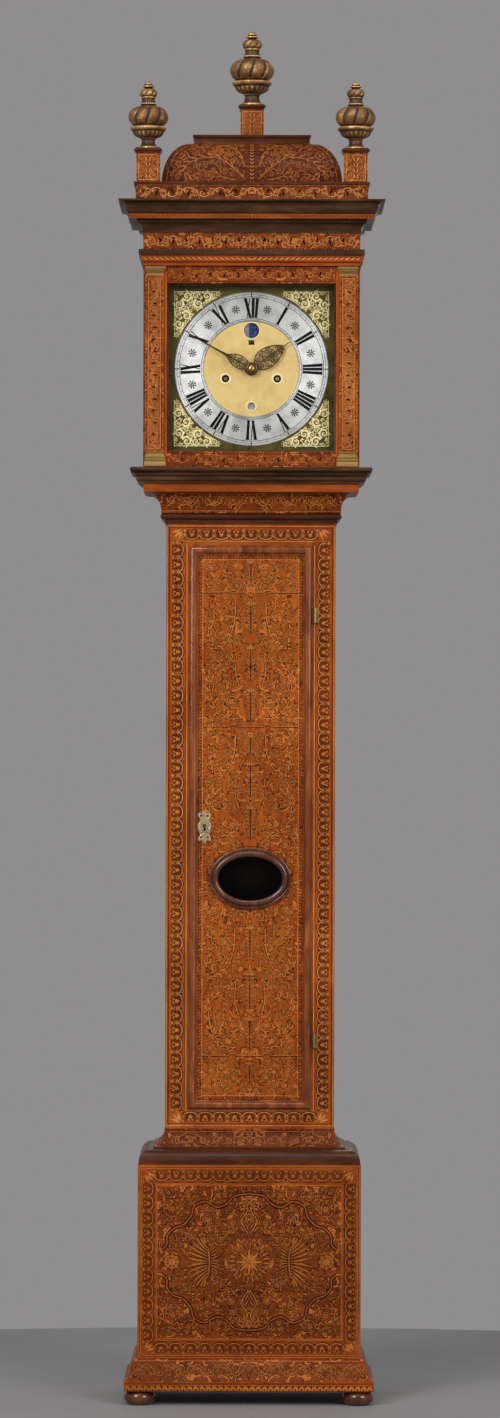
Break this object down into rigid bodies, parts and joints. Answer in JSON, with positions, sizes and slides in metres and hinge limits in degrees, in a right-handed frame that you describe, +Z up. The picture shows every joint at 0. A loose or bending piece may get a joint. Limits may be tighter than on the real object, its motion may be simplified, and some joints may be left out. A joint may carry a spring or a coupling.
{
  "type": "longcase clock",
  "caption": "Tall case clock in floral marquetry with a square brass dial, sliding hood, hinged doors, seconds pendulum, driving weights and a striking movement.",
  "frame": {"origin": "on the floor, at the middle of the footprint", "axes": "+Z up, -Y out of the dial, +X to the viewer's right"},
  "size_m": [0.475, 0.262, 2.4695],
  "materials": {
    "marquetry": "waxed floral marquetry of pale and dark woods on an orange-brown ground",
    "ebonised_wood": "satin, worn dark mouldings",
    "walnut": "polished reddish-brown cross-grain mouldings",
    "oak": "unpolished old oak",
    "brass": "polished, slightly aged",
    "gilt_brass": "cast, chased and gilded",
    "gilt_wood": "worn gilding on carved wood",
    "silvered_brass": "matt silvered, engraved and waxed black",
    "blue_enamel": "deep blue with pale stars and moons",
    "steel": "polished and blued",
    "glass": "old clear glass",
    "gut": "twisted gut line"
  },
  "bodies": {
    "case": {"backboard": "oak", "trunk_sides": "marquetry", "trunk_front": "marquetry", "throat_moulding": "marquetry", "waist_moulding": "walnut", "base_boards": "marquetry", "plinth_moulding": "marquetry", "bun_feet": "walnut", "seatboard": "oak", "trunk_fittings": "brass", "dial_plate": "brass", "chapter_ring": "silvered_brass", "spandrels": "gilt_brass", "movement_plates": "brass", "movement_pillars": "brass", "bell": "brass", "going_line": "gut", "strike_line": "gut"},
    "hood": {"hood_sides": "marquetry", "hood_windows": "glass", "dial_mask": "ebonised_wood", "hood_base_moulding": "ebonised_wood", "frieze": "marquetry", "cornice": "ebonised_wood", "caddy_plinth": "marquetry", "caddy_dome": "marquetry", "finial_pedestals": "ebonised_wood", "finials": "gilt_wood", "hood_door_pivots": "brass"},
    "hood_door": {"hood_door_frame": "marquetry", "hood_door_glass": "glass", "pilasters": "marquetry", "pilaster_brasses": "gilt_brass"},
    "trunk_door": {"trunk_door_panel": "marquetry", "trunk_door_moulding": "walnut", "lenticle_ring": "walnut", "lenticle_glass": "glass", "door_brasses": "brass", "door_lock": "steel"},
    "bolt": {"lock_bolt": "steel"},
    "minute": {"minute_hand": "gilt_brass", "centre_wheel": "brass"},
    "hour": {"hour_hand": "gilt_brass", "hour_wheel": "brass"},
    "motion_work": {"minute_wheel": "brass"},
    "third": {"third_wheel": "brass"},
    "escape": {"escape_wheel": "brass"},
    "going_great": {"going_great_wheel": "brass"},
    "strike_great": {"strike_great_wheel": "brass"},
    "pin": {"pin_wheel": "brass"},
    "going_drum": {"going_barrel": "brass"},
    "strike_drum": {"strike_barrel": "brass"},
    "pallets": {"anchor": "steel"},
    "pendulum": {"pendulum_rod": "steel", "pendulum_bob": "brass"},
    "going_mass": {"going_weight": "brass"},
    "strike_mass": {"strike_weight": "brass"},
    "bell_hammer": {"hammer": "steel"},
    "moon": {"moon_disc": "blue_enamel"},
    "date": {"date_ring": "silvered_brass"}
  },
  "joints": [
    {"name": "hood_slide", "type": "slide", "parent": "case", "child": "hood", "axis": [0, -1, 0], "range_m": [0, 0.3]},
    {"name": "hood_door_hinge", "type": "hinge", "parent": "hood", "child": "hood_door", "pos_m": [0.186, -0.078, 1.85], "axis": [0, 0, 1], "range_deg": [0, 110]},
    {"name": "trunk_door_hinge", "type": "hinge", "parent": "case", "child": "trunk_door", "pos_m": [0.1156, -0.0476, 1.03], "axis": [0, 0, 1], "range_deg": [0, 115]},
    {"name": "lock_bolt_slide", "type": "slide", "parent": "trunk_door", "child": "bolt", "axis": [-1, 0, 0], "range_m": [0, 0.01]},
    {"name": "minute_hand_spin", "type": "hinge", "parent": "case", "child": "minute", "pos_m": [0, 0, 1.852], "axis": [0, 1, 0], "continuous": true},
    {"name": "hour_hand_spin", "type": "hinge", "parent": "case", "child": "hour", "pos_m": [0, -0.03, 1.852], "axis": [0, 1, 0], "continuous": true},
    {"name": "minute_wheel_spin", "type": "hinge", "parent": "case", "child": "motion_work", "pos_m": [0, -0.025, 1.816], "axis": [0, 1, 0], "continuous": true},
    {"name": "third_wheel_spin", "type": "hinge", "parent": "case", "child": "third", "pos_m": [0.011, 0.02, 1.88056], "axis": [0, 1, 0], "continuous": true},
    {"name": "escape_wheel_spin", "type": "hinge", "parent": "case", "child": "escape", "pos_m": [0, 0.03, 1.905], "axis": [0, 1, 0], "continuous": true},
    {"name": "going_great_wheel_spin", "type": "hinge", "parent": "case", "child": "going_great", "pos_m": [0.0464, -0.0065, 1.8345], "axis": [0, 1, 0], "continuous": true},
    {"name": "strike_great_wheel_spin", "type": "hinge", "parent": "case", "child": "strike_great", "pos_m": [-0.0464, -0.0065, 1.8345], "axis": [0, 1, 0], "continuous": true},
    {"name": "pin_wheel_spin", "type": "hinge", "parent": "case", "child": "pin", "pos_m": [-0.05, 0.02, 1.88036], "axis": [0, 1, 0], "continuous": true},
    {"name": "going_weight_rise", "type": "slide", "parent": "case", "child": "going_mass", "axis": [0, 0, 1], "range_m": [0, 1], "deforming": ["going_line"]},
    {"name": "strike_weight_rise", "type": "slide", "parent": "case", "child": "strike_mass", "axis": [0, 0, 1], "range_m": [0, 1], "deforming": ["strike_line"]},
    {"name": "going_barrel_spin", "type": "hinge", "parent": "case", "child": "going_drum", "pos_m": [0.0464, 0.02, 1.8345], "axis": [0, 1, 0], "continuous": true},
    {"name": "strike_barrel_spin", "type": "hinge", "parent": "case", "child": "strike_drum", "pos_m": [-0.0464, 0.02, 1.8345], "axis": [0, 1, 0], "continuous": true},
    {"name": "pendulum_swing", "type": "hinge", "parent": "case", "child": "pendulum", "pos_m": [0, 0.075, 1.932], "axis": [0, 1, 0], "range_deg": [-2.5, 2.5]},
    {"name": "anchor_swing", "type": "hinge", "parent": "case", "child": "pallets", "pos_m": [0, 0.02, 1.932], "axis": [0, 1, 0], "range_deg": [-2.5, 2.5]},
    {"name": "hammer_swing", "type": "hinge", "parent": "case", "child": "bell_hammer", "pos_m": [-0.058, 0.02, 1.914], "axis": [0, 1, 0], "range_deg": [-14, 3], "stiffness_Nm_per_rad": 0.3},
    {"name": "moon_disc_spin", "type": "hinge", "parent": "case", "child": "moon", "pos_m": [0, -0.04, 1.947], "axis": [0, 1, 0], "continuous": true},
    {"name": "date_ring_spin", "type": "hinge", "parent": "case", "child": "date", "pos_m": [0, -0.0385, 1.852], "axis": [0, 1, 0], "continuous": true}
  ],
  "couplings": [
    {"joint": "hour_hand_spin", "follows": "minute_hand_spin", "ratio": 0.083333},
    {"joint": "minute_wheel_spin", "follows": "minute_hand_spin", "ratio": -1},
    {"joint": "third_wheel_spin", "follows": "minute_hand_spin", "ratio": -7.5},
    {"joint": "escape_wheel_spin", "follows": "minute_hand_spin", "ratio": 60},
    {"joint": "going_great_wheel_spin", "follows": "minute_hand_spin", "ratio": -0.083333},
    {"joint": "pin_wheel_spin", "follows": "strike_great_wheel_spin", "ratio": -9.75},
    {"joint": "going_barrel_spin", "follows": "going_weight_rise", "rad_per_m": 100},
    {"joint": "strike_barrel_spin", "follows": "strike_weight_rise", "rad_per_m": 100},
    {"joint": "anchor_swing", "follows": "pendulum_swing", "ratio": 1}
  ]
}
